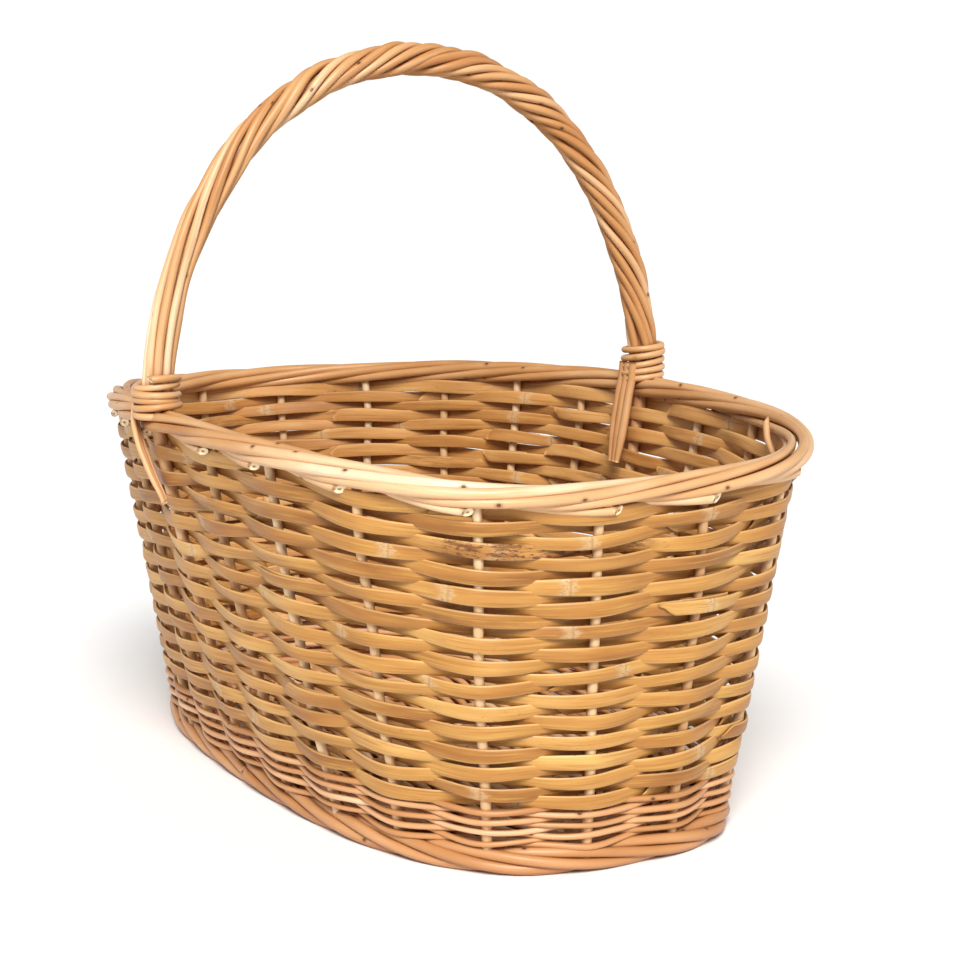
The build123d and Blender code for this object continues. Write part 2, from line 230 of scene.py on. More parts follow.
def sweep_grid(rings, length, around, seed, tone, closed, caps):
    """Vertices, faces and corner values of a strip or rod whose cross-sections are rings.

    rings is (n, m, 3). length has one value a ring (n, or n + 1 when closed), around has m + 1.
    seed is one number for the piece. tone, from dark to pale, is one number or one a ring.
    """
    n, m = rings.shape[:2]
    verts = rings.reshape(-1, 3)
    rows = n if closed else n - 1
    i = np.arange(rows)[:, None]
    j = np.arange(m)[None, :]
    i2 = (i + 1) % n
    j2 = (j + 1) % m
    faces = np.stack([i * m + j, i * m + j2, i2 * m + j2, i2 * m + j], -1).reshape(-1, 4)
    tones = np.broadcast_to(np.asarray(tone, float), (n,))
    x0 = np.broadcast_to(length[:rows, None], (rows, m))
    x1 = np.broadcast_to(length[1 : rows + 1, None], (rows, m))
    a0 = np.broadcast_to(around[None, :m], (rows, m))
    a1 = np.broadcast_to(around[None, 1 : m + 1], (rows, m))
    t0 = np.broadcast_to(tones[:rows, None], (rows, m))
    t1 = np.broadcast_to(np.roll(tones, -1)[:rows, None], (rows, m))
    z0 = np.full((rows, m), float(seed))
    corners = [(x0, a0), (x0, a1), (x1, a1), (x1, a0)]
    grain = np.stack([np.stack([x, a, z0], -1) for x, a in corners], -2).reshape(-1, 3)
    shade = np.stack([t0, t0, t1, t1], -1).reshape(-1).tolist()
    faces = [tuple(f) for f in faces.tolist()]
    cut = [0.0] * len(grain)
    extra = []
    if caps:
        for end, ring in ((0, 0), (1, n - 1)):
            center = len(verts)
            verts = np.vstack([verts, rings[ring].mean(0)])
            for k in range(m):
                a, b = ring * m + k, ring * m + (k + 1) % m
                faces.append((a, center, b) if end else (b, center, a))
                cut += [2.0, 1.0, 2.0]
                shade += [tones[ring]] * 3
                extra += [[length[ring], around[k], float(seed)]] * 3
    if extra:
        grain = np.vstack([grain, np.array(extra)])
    return verts, faces, grain, np.array(cut), np.array(shade)


def add_piece(name, parts, material, nodes):
    """One Blender object from one or more swept grids, riding on the basket."""
    verts = []
    faces = []
    grain = []
    cut = []
    shade = []
    count = 0
    for v, f, g, c, t in parts:
        verts.append(v)
        faces += [tuple(k + count for k in face) for face in f]
        grain.append(g)
        cut.append(c)
        shade.append(t)
        count += len(v)
    mesh = bpy.data.meshes.new(name)
    mesh.from_pydata((np.vstack(verts) * MM).tolist(), [], faces)
    grain = np.vstack(grain).astype(np.float32)
    grain[:, :2] *= MM
    mesh.attributes.new("grain", "FLOAT_VECTOR", "CORNER").data.foreach_set("vector", grain.ravel())
    cut = np.concatenate(cut).astype(np.float32)
    mesh.attributes.new("cut", "FLOAT", "CORNER").data.foreach_set("value", cut)
    shade = np.concatenate(shade).astype(np.float32)
    mesh.attributes.new("shade", "FLOAT", "CORNER").data.foreach_set("value", shade)
    mesh.polygons.foreach_set("use_smooth", [True] * len(mesh.polygons))
    mesh.update()
    obj = bpy.data.objects.new(name, mesh)
    bpy.context.scene.collection.objects.link(obj)
    mesh.materials.append(material)
    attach(obj, "root")
    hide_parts(*nodes)
    return obj


def turning_frames(points, first, closed=False):
    """Ways across a line that turn as little as possible along it, starting near the way first."""
    if closed:
        tangent = unit(np.roll(points, -1, 0) - np.roll(points, 1, 0))
    else:
        tangent = unit(np.gradient(points, axis=0))
    side = np.zeros_like(points)
    current = np.asarray(first, float)
    for k in range(len(points)):
        current = current - current.dot(tangent[k]) * tangent[k]
        current /= np.linalg.norm(current)
        side[k] = current
    return tangent, side, np.cross(tangent, side)


ANY_WAY = (0.13, 0.21, 1.0)  # where a rod's sides are counted from, when it isn't upright


def rod_grid(
    points, radius, random, tone=None, sides=12, cuts=(0.0, 0.0), first=ANY_WAY, cut_way=None, closed=False
):
    """A round rod along a line. cuts are the slants of its two ends, which reach on towards cut_way."""
    tone = random.random() if tone is None else tone
    points = np.asarray(points, float)
    radius = np.broadcast_to(np.asarray(radius, float), (len(points),))
    tangent, side, other = turning_frames(points, first, closed)
    angle = np.linspace(0, 2 * math.pi, sides + 1)
    ca = np.cos(angle[:-1])
    sa = np.sin(angle[:-1])
    rings = points[:, None] + radius[:, None, None] * (
        side[:, None] * ca[None, :, None] + other[:, None] * sa[None, :, None]
    )
    if not closed:
        way = side[-1] if cut_way is None else np.asarray(cut_way)
        for end in (0, -1):
            reach = (rings[end] - points[end]) @ way
            rings[end] += tangent[end] * (cuts[end] * reach)[:, None]
    around = angle * float(np.mean(radius))
    return sweep_grid(rings, lengths_along(points, closed), around, random.random(), tone, closed, not closed)


def strip_grid(point, out, up, width, thick, random, scorched, sides=14):
    """A flat split-willow strip along a line, with rounded edges. scorched is 2 where it is scorched."""
    angle = np.linspace(0, 2 * math.pi, sides + 1) + math.pi / sides
    c = np.cos(angle[:-1])
    s = np.sin(angle[:-1])
    flat = np.sign(c) * np.abs(c) ** 0.95
    tall = np.sign(s) * np.abs(s) ** 0.55
    rings = point[:, None] + (
        out[:, None] * (flat[None, :] * thick[:, None] / 2)[..., None]
        + up[:, None] * (tall[None, :] * width[:, None] / 2)[..., None]
    )
    # height on the strip, 0 at its lower edge, and negative on the inner face
    tall = np.append(tall, tall[0])
    flat = np.append(flat, flat[0])
    across = (tall + 1) / 2 * STRIP_WIDTH * np.where(flat >= 0, 1, -1)
    seed, tone = random.random(2)
    return sweep_grid(rings, lengths_along(point, False), across, seed, tone + scorched, False, True)


# ---------------------------------------------------------------------------------------------
# Materials


class Nodes:
    """Short ways to add and join shader nodes."""

    def __init__(self, name):
        self.material = bpy.data.materials.new(name)
        self.material.use_nodes = True
        self.tree = self.material.node_tree
        self.shader = self.tree.nodes["Principled BSDF"]

    def add(self, kind, **settings):
        node = self.tree.nodes.new(kind)
        for key, value in settings.items():
            setattr(node, key, value)
        return node

    def put(self, value, socket):
        if isinstance(value, (int, float, tuple)):
            socket.default_value = value
        else:
            self.tree.links.new(value, socket)

    def math(self, operation, a, b=0.0, c=0.0, clamp=False):
        node = self.add("ShaderNodeMath", operation=operation, use_clamp=clamp)
        for value, socket in zip((a, b, c), node.inputs):
            self.put(value, socket)
        return node.outputs[0]

    def mix(self, share, a, b, blend="MIX"):
        node = self.add("ShaderNodeMix", data_type="RGBA", blend_type=blend)
        self.put(share, node.inputs[0])
        self.put(a, node.inputs[6])
        self.put(b, node.inputs[7])
        return node.outputs[2]

    def noise(self, vector, scale, detail=3.0, rough=0.5):
        node = self.add("ShaderNodeTexNoise")
        self.put(vector, node.inputs["Vector"])
        node.inputs["Scale"].default_value = scale
        node.inputs["Detail"].default_value = detail
        node.inputs["Roughness"].default_value = rough
        return node.outputs["Fac"]

    def voronoi(self, vector, scale):
        node = self.add("ShaderNodeTexVoronoi", voronoi_dimensions="2D")
        self.put(vector, node.inputs["Vector"])
        node.inputs["Scale"].default_value = scale
        return node.outputs["Distance"]

    def ramp(self, value, stops):
        node = self.add("ShaderNodeValToRGB")
        self.put(value, node.inputs[0])
        elements = node.color_ramp.elements
        while len(elements) < len(stops):
            elements.new(0.5)
        for element, (place, color) in zip(elements, stops):
            element.position = place
            element.color = (*color, 1.0)
        return node.outputs[0]

    def step(self, value, low, high):
        """0 below low and 1 above high, or the other way round when low is the larger."""
        node = self.add("ShaderNodeMapRange", interpolation_type="SMOOTHSTEP")
        self.put(value, node.inputs[0])
        flip = low > high
        node.inputs[1].default_value = min(low, high)
        node.inputs[2].default_value = max(low, high)
        node.inputs[3].default_value = 1.0 if flip else 0.0
        node.inputs[4].default_value = 0.0 if flip else 1.0
        return node.outputs[0]

    def xyz(self, x, y, z):
        node = self.add("ShaderNodeCombineXYZ")
        for value, socket in zip((x, y, z), node.inputs):
            self.put(value, socket)
        return node.outputs[0]

    def grain(self):
        """Length along the piece and across it in metres, and the piece's own number."""
        attribute = self.add("ShaderNodeAttribute", attribute_name="grain")
        split = self.add("ShaderNodeSeparateXYZ")
        self.tree.links.new(attribute.outputs["Vector"], split.inputs[0])
        return split.outputs[0], split.outputs[1], split.outputs[2]

    def paint_crevice_shade(self, color, share):
        """Paints shade into a colour: deepens it to a reddish brown where neighbours shut out the light."""
        node = self.add("ShaderNodeAmbientOcclusion", samples=6)
        node.inputs["Distance"].default_value = 0.011
        shut = self.step(node.outputs["AO"], 0.75, 0.2)
        return self.mix(self.math("MULTIPLY", shut, share), color, (0.62, 0.4, 0.28, 1.0), "MULTIPLY")

    def bump(self, height, strength, distance):
        node = self.add("ShaderNodeBump")
        node.inputs["Strength"].default_value = strength
        node.inputs["Distance"].default_value = distance
        self.put(height, node.inputs["Height"])
        self.tree.links.new(node.outputs[0], self.shader.inputs["Normal"])


def srgb(code):
    """A linear colour from a hex code."""
    parts = [int(code[k : k + 2], 16) / 255 for k in (0, 2, 4)]
    return tuple(p / 12.92 if p <= 0.04045 else ((p + 0.055) / 1.055) ** 2.4 for p in parts)


def round_willow(name, tones, streak, knots=1.0, rough=0.42):
    """Peeled round willow: pale wood with lengthwise streaks, small bud scars and pale cut ends."""
    n = Nodes(name)
    x, y, seed = n.grain()
    own = n.add("ShaderNodeAttribute", attribute_name="shade").outputs["Fac"]
    lift = n.math("MULTIPLY", seed, 13.7)
    long_place = n.xyz(n.math("MULTIPLY", x, 14.0), n.math("MULTIPLY", y, 60.0), lift)
    patches = n.noise(long_place, 1.0, 3.0)
    fibre_place = n.xyz(n.math("MULTIPLY", x, 55.0), n.math("MULTIPLY", y, 2600.0), lift)
    fibres = n.noise(fibre_place, 1.0, 4.0, 0.6)
    tone = n.math("ADD", n.math("MULTIPLY", own, 0.62), n.math("MULTIPLY", patches, 0.9))
    color = n.ramp(n.math("SUBTRACT", tone, 0.2), tones)
    streaks = n.step(fibres, 0.48, 0.7)
    color = n.mix(n.math("MULTIPLY", streaks, 0.42), color, (*streak, 1.0))
    # bud scars: a small dark dot with a soft brown ring
    place = n.xyz(n.math("ADD", x, n.math("MULTIPLY", seed, 9.0)), n.math("MULTIPLY", y, 1.25), 0.0)
    dots = n.voronoi(place, 26.0)
    ring = n.math("MULTIPLY", n.step(dots, 0.075, 0.03), 0.5 * knots)
    color = n.mix(ring, color, (*srgb("9A6532"), 1.0))
    dark = n.math("MULTIPLY", n.step(dots, 0.034, 0.018), 0.85 * knots)
    color = n.mix(dark, color, (*srgb("3A2212"), 1.0))
    # cut ends: cream wood with a brown pith
    cut = n.add("ShaderNodeAttribute", attribute_name="cut").outputs["Fac"]
    is_cut = n.step(cut, 0.5, 0.6)
    pith = n.step(cut, 1.45, 1.2)
    wood = n.mix(pith, (*srgb("F0D9AE"), 1.0), (*srgb("9C6B3C"), 1.0))
    color = n.mix(is_cut, color, wood)
    # painted shade: the colour darkens to a reddish brown in crevices and between neighbouring rods
    n.tree.links.new(n.paint_crevice_shade(color, 0.6), n.shader.inputs["Base Color"])
    gloss = n.math("ADD", n.math("MULTIPLY", fibres, 0.22), rough - 0.08)
    n.tree.links.new(gloss, n.shader.inputs["Roughness"])
    n.shader.inputs["Specular IOR Level"].default_value = 0.45
    n.shader.inputs["Coat Weight"].default_value = 0.12
    n.shader.inputs["Coat Roughness"].default_value = 0.3
    height = n.math("ADD", n.math("MULTIPLY", fibres, 0.5), n.math("MULTIPLY", patches, 0.5))
    height = n.math("SUBTRACT", height, n.math("MULTIPLY", dark, 0.8))
    n.bump(height, 0.35, 0.0004)
    return n.material


def split_willow(name):
    """Flat golden strips split from thick willow, with pale nodes, brown specks and lighter edges."""
    n = Nodes(name)
    x, y, seed = n.grain()
    own = n.add("ShaderNodeAttribute", attribute_name="shade").outputs["Fac"]
    scorched = n.step(own, 1.1, 1.9)
    own = n.math("MINIMUM", own, 1.0)
    other = n.math("FRACT", n.math("MULTIPLY", seed, 17.13))
    inner = n.math("LESS_THAN", y, 0.0)
    height = n.math("ABSOLUTE", y)
    lift = n.math("MULTIPLY", seed, 11.3)
    slow = n.noise(n.xyz(n.math("MULTIPLY", x, 16.0), n.math("MULTIPLY", y, 90.0), lift), 1.0, 3.0)
    fibre_place = n.xyz(n.math("MULTIPLY", x, 45.0), n.math("MULTIPLY", y, 2200.0), lift)
    fibres = n.noise(fibre_place, 1.0, 4.0, 0.62)
    tone = n.math("ADD", n.math("MULTIPLY", own, 0.45), n.math("MULTIPLY", slow, 1.3))
    tone = n.math("SUBTRACT", tone, 0.35)
    outside = n.ramp(tone, [
        (0.1, srgb("8B5722")), (0.35, srgb("A87233")), (0.62, srgb("B98541")), (0.95, srgb("D0A35E")),
    ])
    inside = n.ramp(tone, [
        (0.1, srgb("A06932")), (0.4, srgb("BC8447")), (0.7, srgb("CE9A5C")), (0.95, srgb("E0B47C")),
    ])
    color = n.mix(inner, outside, inside)
    streaks = n.step(fibres, 0.5, 0.74)
    color = n.mix(n.math("MULTIPLY", streaks, 0.4), color, (*srgb("9A6126"), 1.0))
    # broader brown streaks and olive-yellow stretches
    broad = n.noise(n.xyz(n.math("MULTIPLY", x, 22.0), n.math("MULTIPLY", y, 750.0), lift), 1.0, 4.0, 0.65)
    color = n.mix(n.math("MULTIPLY", n.step(broad, 0.53, 0.68), 0.5), color, (*srgb("8A5722"), 1.0))
    color = n.mix(n.math("MULTIPLY", n.step(broad, 0.47, 0.34), 0.4), color, (*srgb("CDA952"), 1.0))
    # lighter edges, where the split wood shows
    middle = n.math("ABSOLUTE", n.math("SUBTRACT", height, STRIP_WIDTH * MM / 2))
    edge = n.step(middle, 0.0026, 0.0035)
    color = n.mix(n.math("MULTIPLY", edge, 0.35), color, (*srgb("E6C48C"), 1.0))
    # nodes: pale patches with a pointed edge, a hand's width or two apart
    gap = 0.31
    along = n.math("FRACT", n.math("ADD", n.math("DIVIDE", x, gap), n.math("MULTIPLY", other, 3.0)))
    away = n.math("MULTIPLY", n.math("SUBTRACT", along, 0.5), gap)
    ragged = n.noise(n.xyz(n.math("MULTIPLY", x, 500.0), n.math("MULTIPLY", y, 1500.0), lift), 1.0, 3.0, 0.7)
    point = n.math("ADD", away, n.math("MULTIPLY", middle, 1.1))
    point = n.math("ADD", point, n.math("MULTIPLY", n.math("SUBTRACT", ragged, 0.5), 0.012))
    patch = n.math("MULTIPLY", n.step(point, -0.005, -0.001), n.step(point, 0.0055, 0.0025))
    color = n.mix(n.math("MULTIPLY", patch, 0.5), color, (*srgb("CDB086"), 1.0))
    flecks = n.math("MULTIPLY", patch, n.step(ragged, 0.54, 0.62))
    color = n.mix(n.math("MULTIPLY", flecks, 0.6), color, (*srgb("7A5430"), 1.0))
    rim = n.math("MULTIPLY", n.step(n.math("ABSOLUTE", away), 0.0009, 0.0003), 0.35)
    color = n.mix(rim, color, (*srgb("8A6238"), 1.0))
    # brown specks on some strips, and scorched stretches on a few
    specks = n.noise(n.xyz(n.math("MULTIPLY", x, 260.0), n.math("MULTIPLY", y, 900.0), lift), 1.0, 3.0, 0.7)
    speckled = n.math("MULTIPLY", n.step(specks, 0.62, 0.7), n.step(own, 0.8, 0.84))
    color = n.mix(n.math("MULTIPLY", speckled, 0.65), color, (*srgb("8B5A26"), 1.0))
    color = n.mix(n.math("MULTIPLY", scorched, 0.4), color, (*srgb("A0662F"), 1.0))
    dots = n.math("MULTIPLY", n.step(specks, 0.53, 0.6), scorched)
    color = n.mix(n.math("MULTIPLY", dots, 0.8), color, (*srgb("4E2A12"), 1.0))
    burnt_place = n.xyz(n.math("MULTIPLY", x, 30.0), n.math("MULTIPLY", y, 200.0), lift)
    burnt = n.step(n.noise(burnt_place, 1.0, 4.0, 0.7), 0.46, 0.6)
    lightly = n.math("MULTIPLY", n.step(other, 0.9, 0.93), 0.5)
    burnt = n.math("MULTIPLY", burnt, n.math("MAXIMUM", lightly, scorched))
    color = n.mix(n.math("MULTIPLY", burnt, 0.8), color, (*srgb("5C3216"), 1.0))
    # painted shade: the colour darkens to a reddish brown in crevices, behind stakes and between neighbouring
    # strips
    n.tree.links.new(n.paint_crevice_shade(color, 0.6), n.shader.inputs["Base Color"])
    gloss = n.math("ADD", n.math("MULTIPLY", fibres, 0.2), 0.34)
    gloss = n.math("ADD", gloss, n.math("MULTIPLY", inner, 0.12))
    n.tree.links.new(gloss, n.shader.inputs["Roughness"])
    n.shader.inputs["Specular IOR Level"].default_value = 0.45
    relief = n.math("ADD", n.math("MULTIPLY", fibres, 0.6), n.math("MULTIPLY", slow, 0.4))
    relief = n.math("ADD", relief, n.math("MULTIPLY", rim, 0.8))
    n.bump(relief, 0.3, 0.0004)
    return n.material


CREAM = [(0.1, srgb("AF753E")), (0.35, srgb("C69460")), (0.65, srgb("DDB488")), (0.95, srgb("F3DBBB"))]
WARM = [(0.1, srgb("A96D38")), (0.35, srgb("C28F5B")), (0.65, srgb("D8AF82")), (0.95, srgb("F0D5B4"))]
PINK = [(0.1, srgb("9A6538")), (0.35, srgb("B7814F")), (0.65, srgb("CE9D6F")), (0.95, srgb("E7C5A0"))]
PALE = [(0.1, srgb("A87B4B")), (0.4, srgb("BF9566")), (0.7, srgb("D2AE82")), (0.95, srgb("E3C8A2"))]
STICK = [(0.1, srgb("8F6235")), (0.4, srgb("A37545")), (0.7, srgb("B78A59")), (0.95, srgb("C9A277"))]

MATERIALS = {
    "split_willow": split_willow("split willow"),
    "rim_willow": round_willow("rim willow", CREAM, srgb("C08A4C")),
    "handle_willow": round_willow("handle willow", WARM, srgb("B27A40")),
    "binding_willow": round_willow("binding willow", WARM, srgb("B27A40"), knots=0.3),
    "wale_willow": round_willow("wale willow", PINK, srgb("B47C4C")),
    "stake_willow": round_willow("stake willow", PALE, srgb("C49A68"), knots=0.4, rough=0.5),
    "stick_willow": round_willow("stick willow", STICK, srgb("9A6B3C"), knots=0.6, rough=0.55),
}


def piece(name, parts, slot, *nodes):
    return add_piece(name, parts, MATERIALS[slot], nodes)


# ---------------------------------------------------------------------------------------------
# Stakes


def stake_line(station, low, high, random):
    z = np.linspace(low, high, 60)
    s = station + line_noise(random, z, 90, 0.012)
    point, _, out, _ = wall_frame(s, z)
    return point + out * line_noise(random, z, 70, 0.15)[:, None]


def make_stakes():
    groups = {
        "stakes_front_right": range(1, 6),
        "stakes_front_left": range(6, 11),
        "stakes_back_left": range(12, 17),
        "stakes_back_right": range(17, 22),
    }
    for node, stations in groups.items():
        for station in stations:
            line = stake_line(station, 4.0, RIM_Z - 2, rng)
            radius = np.linspace(STAKE_RADIUS + 0.15, STAKE_RADIUS - 0.15, len(line))
            radius = radius * (1 + line_noise(rng, line[:, 2], 40, 0.02))
            grid = rod_grid(line, radius, rng, first=(1, 0, 0))
            piece(f"stake_{station:02d}", [grid], "stake_willow", node)


# ---------------------------------------------------------------------------------------------
# Woven rows

STEPS = 20  # points from one stake to the next
WALE_LIFT = 4.6  # the lowest rows and the wale's top lie this much above their CAD nodes
WALE_TOP_Z = 29  # rows this low are lifted by all of it, and rows LIFT_REACH higher not at all
LIFT_REACH = 65
STRIP_ROOM = 0.5  # how far past touching a strip swings out at a stake, before its bends are rounded
TOP_ROW_RISE = 6.2  # the extra row's height above the top CAD row
TOP_ROW_WIDTH = 8.6


def weave_path(z, phase, swing, straight, vertical):
    """A closed line that passes outside every second stake and inside the others."""
    s = np.arange(STATIONS * STEPS) / STEPS
    wave = np.cos(math.pi * (s + phase))
    fold = 2 * np.arcsin(wave) / math.pi
    wave = 0.8 * wave + 0.2 * fold
    point, along, out, up = wall_frame(s, z + vertical, straight)
    point = point + out * (swing * wave)[:, None]
    return s, smooth_closed(point, 4), along, out, up, wave


def row_strip(line, start, stop, width, random, is_scorched):
    """One strip of a row from station start to stop, tapered and lifted clear where it laps the next."""
    count = int(round((stop - start) * STEPS)) + 1
    index = (int(round(start * STEPS)) + np.arange(count)) % (STATIONS * STEPS)
    point, out, up, wave = (values[index] for values in line)
    u = np.arange(count) / STEPS
    away = count / STEPS - u
    lift = STRIP_THICK * 0.53 * (smooth_step(u, 1.5, 0.8) - smooth_step(away, 1.5, 0.8))
    point = point + out * lift[:, None]
    tip = np.minimum(smooth_step(u, 0.0, 0.16), smooth_step(away, 0.0, 0.16))
    wide = width * (1 + line_noise(random, u, 3.5, 0.05))
    wide = wide * (0.90 + 0.10 * np.abs(wave))
    # a little wider, and so closer together, below the far part of the rim
    wide = wide * (1 + 0.07 * np.exp(-((index / STEPS - 9.5) / 2.2) ** 2))
    point = point + up * (random.choice([-0.4, 0.4]) * wide * (1 - tip))[:, None]
    wide = wide * (0.2 + 0.8 * tip)
    thick = STRIP_THICK * random.uniform(0.85, 1.05) * (0.45 + 0.55 * tip)
    scorched = 2.0 * is_scorched * np.exp(-((index / STEPS - SCORCHED_STATION) / 1.1) ** 4)
    return strip_grid(point, out, up, wide, thick, random, scorched)


def smooth_step(x, low, high):
    t = np.clip((x - low) / (high - low), 0, 1)
    return t * t * (3 - 2 * t)


def make_row(name, node, z, phase, width, joints):
    """A woven row at height z, made of a few strips that lap where one ends and the next begins."""
    random = np.random.default_rng(100 + phase)
    s = np.arange(STATIONS * STEPS) / STEPS
    vertical = ring_noise(random, s, 3, 16, 0.6)
    swing = STAKE_RADIUS + STRIP_THICK / 2 + STRIP_ROOM
    s, point, along, out, up, wave = weave_path(z, phase, swing, 0.48, vertical)
    roll = ring_noise(random, s, 4, 18, math.radians(6))
    along = unit(np.roll(point, -1, 0) - np.roll(point, 1, 0))
    up = unit(up - (up * along).sum(-1, keepdims=True) * along)
    out = np.cross(along, up)
    c = np.cos(roll)[:, None]
    r = np.sin(roll)[:, None]
    line = (point, out * c + up * r, up * c - out * r, wave)
    width = width * random.uniform(0.93, 1.05)
    shown = random.random() < 0.2
    places = np.sort(random.choice(np.arange(STATIONS // 2), joints, replace=False)) * 2
    places = places + (phase + 1 + shown) % 2
    places = np.append(places, places[0] + STATIONS)
    strips = []
    for start, stop in zip(places[:-1], places[1:]):
        lap = random.uniform(0.3, 0.5)
        strips.append(row_strip(line, start - 0.4, stop + lap, width, random, phase == SCORCHED_ROW))
    piece(name, strips, "split_willow", node)


def make_rows():
    for number in range(ROW_COUNT):
        node = f"weave_row_{number + 1:02d}"
        low, high = cad_box(node)
        joints = 2 + (number * 7) % 3
        z = (low[2] + high[2]) / 2
        z += WALE_LIFT * np.clip(1 - (z - WALE_TOP_Z) / LIFT_REACH, 0, 1) ** 2
        make_row(f"row_{number + 1:02d}", node, z, number, STRIP_WIDTH, joints)
    # one more row, pushed up under the border
    low, high = cad_box("weave_row_01")
    z = (low[2] + high[2]) / 2 + TOP_ROW_RISE
    make_row("row_top", "weave_row_01", z, ROW_COUNT + 1, TOP_ROW_WIDTH, 3)


# ---------------------------------------------------------------------------------------------
# Lower wale and foot

FOOT_WALL_Z = 4.0  # height at which the wall's outline gives the foot's
FOOT_TURNS = 6


def make_wale():
    rods = 8
    top = cad_box("lower_wale_1")[1][2] + WALE_LIFT
    bottom = cad_box("lower_wale_5")[0][2] - 2.0
    for rod in range(rods):
        random = np.random.default_rng(300 + rod)
        z = top - (top - bottom) * (rod + 0.5) / rods
        radius = 1.45 * random.uniform(0.85, 1.1)
        s = np.arange(STATIONS * STEPS) / STEPS
        vertical = ring_noise(random, s, 5, 30, 0.3)
        s, point, *_ = weave_path(z, rod, STAKE_RADIUS + radius, 0.6, vertical)
        thick = radius * (1 + ring_noise(random, s, 2, 12, 0.05))
        grid = rod_grid(point, thick, random, sides=10, closed=True)
        piece(f"wale_{rod + 1}", [grid], "wale_willow", f"lower_wale_{rod * 5 // rods + 1}")


def make_foot():
    """Four thick rods that wind slowly round each other at the foot."""
    rods = 4
    for rod in range(rods):
        random = np.random.default_rng(400 + rod)
        s = np.arange(STATIONS * 14) / 14
        turn = 2 * math.pi * (rod / rods + s * FOOT_TURNS / STATIONS)
        offset = 1.2 + 2.8 * np.cos(turn)
        z = 6.6 - 3.8 * np.sin(turn)
        point, _, out, _ = wall_frame(s, FOOT_WALL_Z)
        point = point + out * offset[:, None]
        point[:, 2] = z
        radius = 2.7 * (1 + ring_noise(random, s, 2, 12, 0.04))
        grid = rod_grid(point, radius, random, random.uniform(0.0, 0.3), closed=True)
        piece(f"foot_{rod + 1}", [grid], "wale_willow", f"foot_rod_{min(rod + 1, 3)}")


# ---------------------------------------------------------------------------------------------
# Border


def rim_frame(s):
    """The rim line with its ways outwards and upwards."""
    point = wall(s, RIM_Z)
    along = wall(s + 0.05, RIM_Z) - wall(s - 0.05, RIM_Z)
    along[:, 2] = 0
    along = unit(along)
    out = np.stack([along[:, 1], -along[:, 0], np.zeros(len(s))], -1)
    return point, out


def make_border():
    """One rod a station: it rises on the outside, rolls over the top and ends cut under the outside."""
    span = 6.0
    ring = 5.1
    for station in range(STATIONS):
        random = np.random.default_rng(500 + station)
        reach = span + random.uniform(-0.15, 0.2)
        u = np.linspace(0, reach, int(reach * 16))
        s = station + u
        turn = np.radians(-105 + 395 * u / reach) + line_noise(random, u, 3.0, 0.06)
        distance = ring * (1 + line_noise(random, u, 2.5, 0.05))
        rise = np.clip(u / 0.8, 0, 1)
        distance = distance * (0.35 + 0.65 * rise * rise * (3 - 2 * rise))
        sideways = distance * np.cos(turn)
        upwards = distance * np.sin(turn) * 0.76
        leave = np.clip((u - reach + 0.9) / 0.9, 0, 1)
        leave = leave * leave * (3 - 2 * leave)
        sideways = sideways + leave * 2.4
        upwards = upwards - leave * 3.0
        point, out = rim_frame(s)
        point = point + out * sideways[:, None]
        point[:, 2] += upwards
        base = random.uniform(2.15, 2.75)
        radius = base * (0.8 + 0.2 * rise) * (1 - 0.16 * leave)
        radius = radius * (1 + line_noise(random, u, 1.2, 0.02))
        slant = random.uniform(0.9, 1.5)
        # paler from the middle of the near side round to the right-hand end
        pale = np.interp(np.mod(s + 4, STATIONS), [4, 6.5, 8, 12, 14, 17], [0.3, 0.6, 0.85, 0.7, 0.3, 0.15])
        tone = np.clip(pale + random.uniform(-0.4, 0.15), 0, 1)
        inward = -out[-1] + np.array([0, 0, 0.35])
        grid = rod_grid(point, radius, random, tone, cuts=(0.0, slant), cut_way=inward)
        piece(f"border_{station + 1:02d}", [grid], "rim_willow", f"border_rod_{station % 4 + 1}")


def make_rim_end():
    """The end of a border rod that stands up inside the rim at its right-hand end."""
    random = np.random.default_rng(560)
    t = np.linspace(0, 1, 24)
    point, out = rim_frame(8.2 + 0.06 * t)
    point = point + out * np.interp(t, [0, 0.45, 1], [-7.0, -10.4, -10.8])[:, None]
    point[:, 2] += -13 + 18 * t
    grid = rod_grid(smooth_open(point), 1.7, random, 0.45, cuts=(0.0, 1.1))
    piece("rim_end", [grid], "rim_willow", "border_rod_2")


# ---------------------------------------------------------------------------------------------
# Handle

HANDLE_FOOT_Z = RIM_Z + 9.0
TOP_ARC = 128.0
HANDLE_RODS = 8
HANDLE_ROD = 2.3


def arch(samples):
    """Points of the bow from the -Y foot to the +Y foot, ways outwards and sideways, and length so far."""
    span = RIM_B
    rise = HANDLE_TOP - HANDLE_FOOT_Z
    # the side arc starts upright at the foot and meets the top arc where both have the same slope
    excess = rise - TOP_ARC
    side_arc = (span**2 + excess**2 - TOP_ARC**2) / (2 * (span - TOP_ARC))
    join = math.atan2(excess, side_arc - span)
    upright = np.linspace(0, join, 400)
    side_y = -span + side_arc * (1 - np.cos(upright))
    side_z = side_arc * np.sin(upright)
    round_top = np.linspace(join, math.pi / 2, 400)
    top_y = -TOP_ARC * np.cos(round_top)
    top_z = rise - TOP_ARC + TOP_ARC * np.sin(round_top)
    y = np.concatenate([side_y, top_y[1:]])
    z = np.concatenate([side_z, top_z[1:]])
    y = np.concatenate([y, -y[-2::-1]])
    z = np.concatenate([z, z[-2::-1]]) + HANDLE_FOOT_Z
    length = np.concatenate([[0], np.cumsum(np.hypot(np.diff(y), np.diff(z)))])
    want = np.linspace(0, length[-1], samples)
    y = np.interp(want, length, y)
    z = np.interp(want, length, z)
    point = np.stack([np.zeros_like(y), y, z], -1)
    along = unit(np.gradient(point, axis=0))
    side = np.broadcast_to(np.array([1.0, 0, 0]), point.shape)
    out = np.cross(side, along)
    if out[samples // 2, 2] < 0:
        out = -out
    return point, out, side, want


